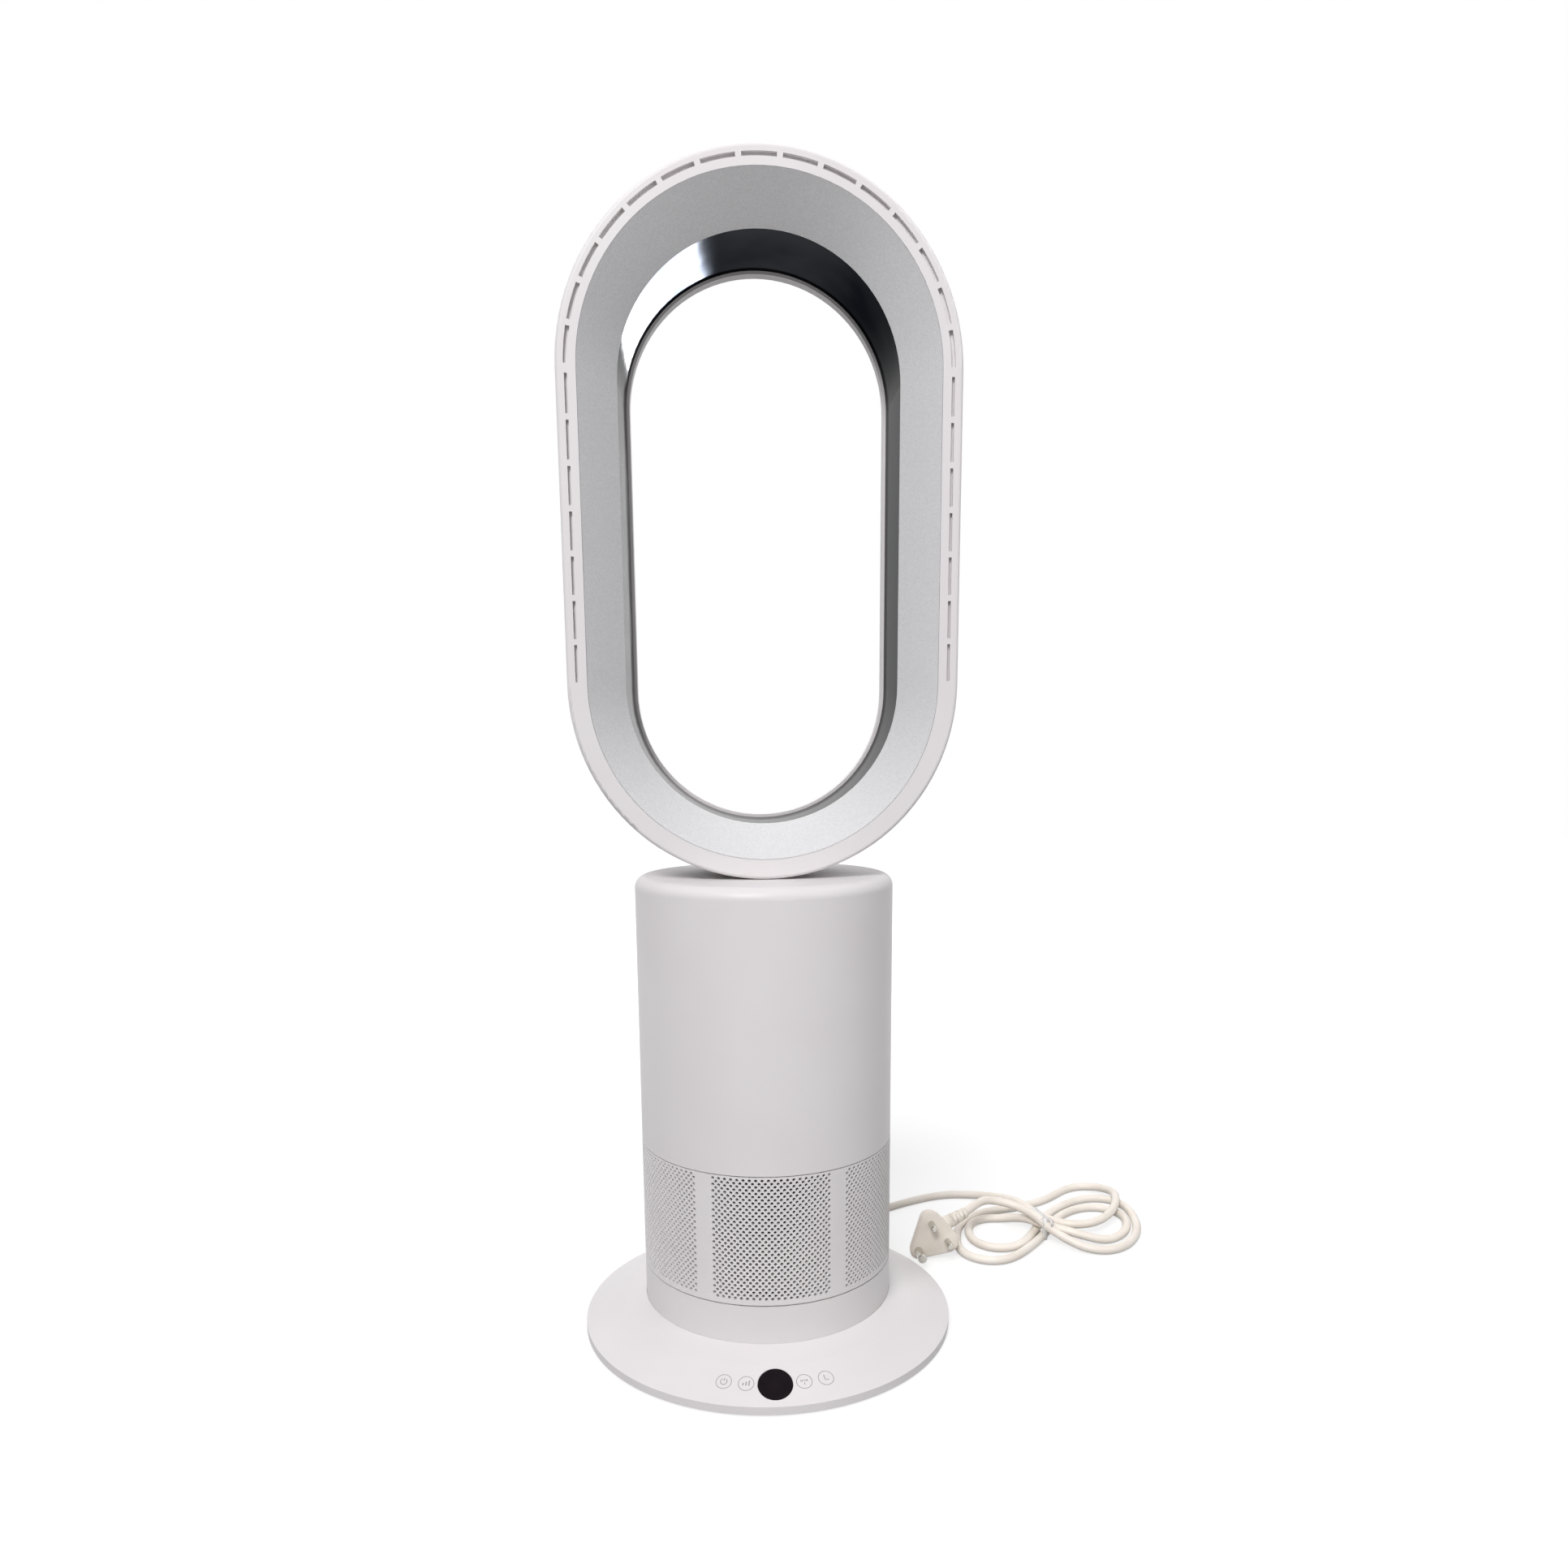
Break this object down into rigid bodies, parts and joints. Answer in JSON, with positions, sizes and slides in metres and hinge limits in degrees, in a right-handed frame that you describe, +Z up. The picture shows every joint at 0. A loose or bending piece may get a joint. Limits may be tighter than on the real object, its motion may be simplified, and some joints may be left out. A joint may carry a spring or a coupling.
{
  "type": "tower fan",
  "caption": "Bladeless tower fan: a round base with touch controls, a swinging tower that draws air in low down, and a tall open air loop.",
  "frame": {"origin": "on the floor under the middle of the round base", "axes": "+Z up, the front of the fan, with its display and air slots, towards -Y, +X to the right seen from the front"},
  "size_m": [0.442, 0.3314, 0.7494],
  "materials": {
    "white_abs": "semi-gloss",
    "silver_abs": "satin silver",
    "chrome_band": "polished",
    "display_black": "polished",
    "dark_abs": "matte",
    "grey_nylon": "matte",
    "acetal": "satin",
    "rubber": "matte",
    "steel": "satin",
    "brass": "polished",
    "ballast_iron": "painted",
    "circuit_board": "solder mask",
    "cord_pvc": "soft satin",
    "tie_plastic": "satin"
  },
  "bodies": {
    "base": {"base_plate": "dark_abs", "base_cover": "white_abs", "foot_collar": "white_abs", "glide_pads": "acetal", "ballast_ring": "ballast_iron", "rubber_feet": "rubber", "base_screws": "steel", "display_lens": "display_black", "display_module": "display_black", "touch_board": "circuit_board", "power_board": "circuit_board", "stepper_motor": "steel", "stepper_screws": "steel", "thrust_washer": "acetal", "retaining_ring": "acetal", "retaining_screws": "steel", "cable_gland": "cord_pvc", "power_cord": "cord_pvc", "cord_hank": "cord_pvc", "cord_tie": "tie_plastic", "cord_tail": "cord_pvc", "plug_body": "cord_pvc", "plug_pins": "brass"},
    "pinion": {"drive_pinion": "acetal", "pinion_shaft": "steel"},
    "rotor": {"impeller": "grey_nylon", "impeller_nut": "brass", "motor_shaft": "steel"},
    "tower": {"sector_gear": "acetal", "gear_screws": "steel", "turntable": "white_abs", "motor_board": "circuit_board", "intake_frame": "dark_abs", "intake_grille": "white_abs", "frame_screws": "steel", "support_plate": "dark_abs", "bucket_seal": "rubber", "fan_bucket": "grey_nylon", "motor_housing": "steel", "motor_bearings": "steel", "motor_damper": "rubber", "diffuser": "grey_nylon", "tail_cone": "grey_nylon", "tower_shell": "white_abs", "outlet_duct": "grey_nylon", "outlet_neck": "white_abs", "neck_gasket": "rubber", "neck_screws": "steel", "loop_front_ring": "white_abs", "loop_shell": "white_abs", "loop_funnel": "silver_abs", "throat_band": "chrome_band"}
  },
  "joints": [
    {"name": "oscillation", "type": "hinge", "parent": "base", "child": "tower", "pos_m": [0, 0, 0.0504], "axis": [0, 0, 1], "range_deg": [-40, 40]},
    {"name": "pinion_spin", "type": "hinge", "parent": "base", "child": "pinion", "pos_m": [-0.03889, 0.03889, 0.03], "axis": [0, 0, 1], "range_deg": [-182, 182]},
    {"name": "impeller_spin", "type": "hinge", "parent": "tower", "child": "rotor", "pos_m": [0, 0, 0.12], "axis": [0, 0, 1], "continuous": true}
  ],
  "couplings": [
    {"joint": "pinion_spin", "follows": "oscillation", "ratio": -4.5}
  ]
}
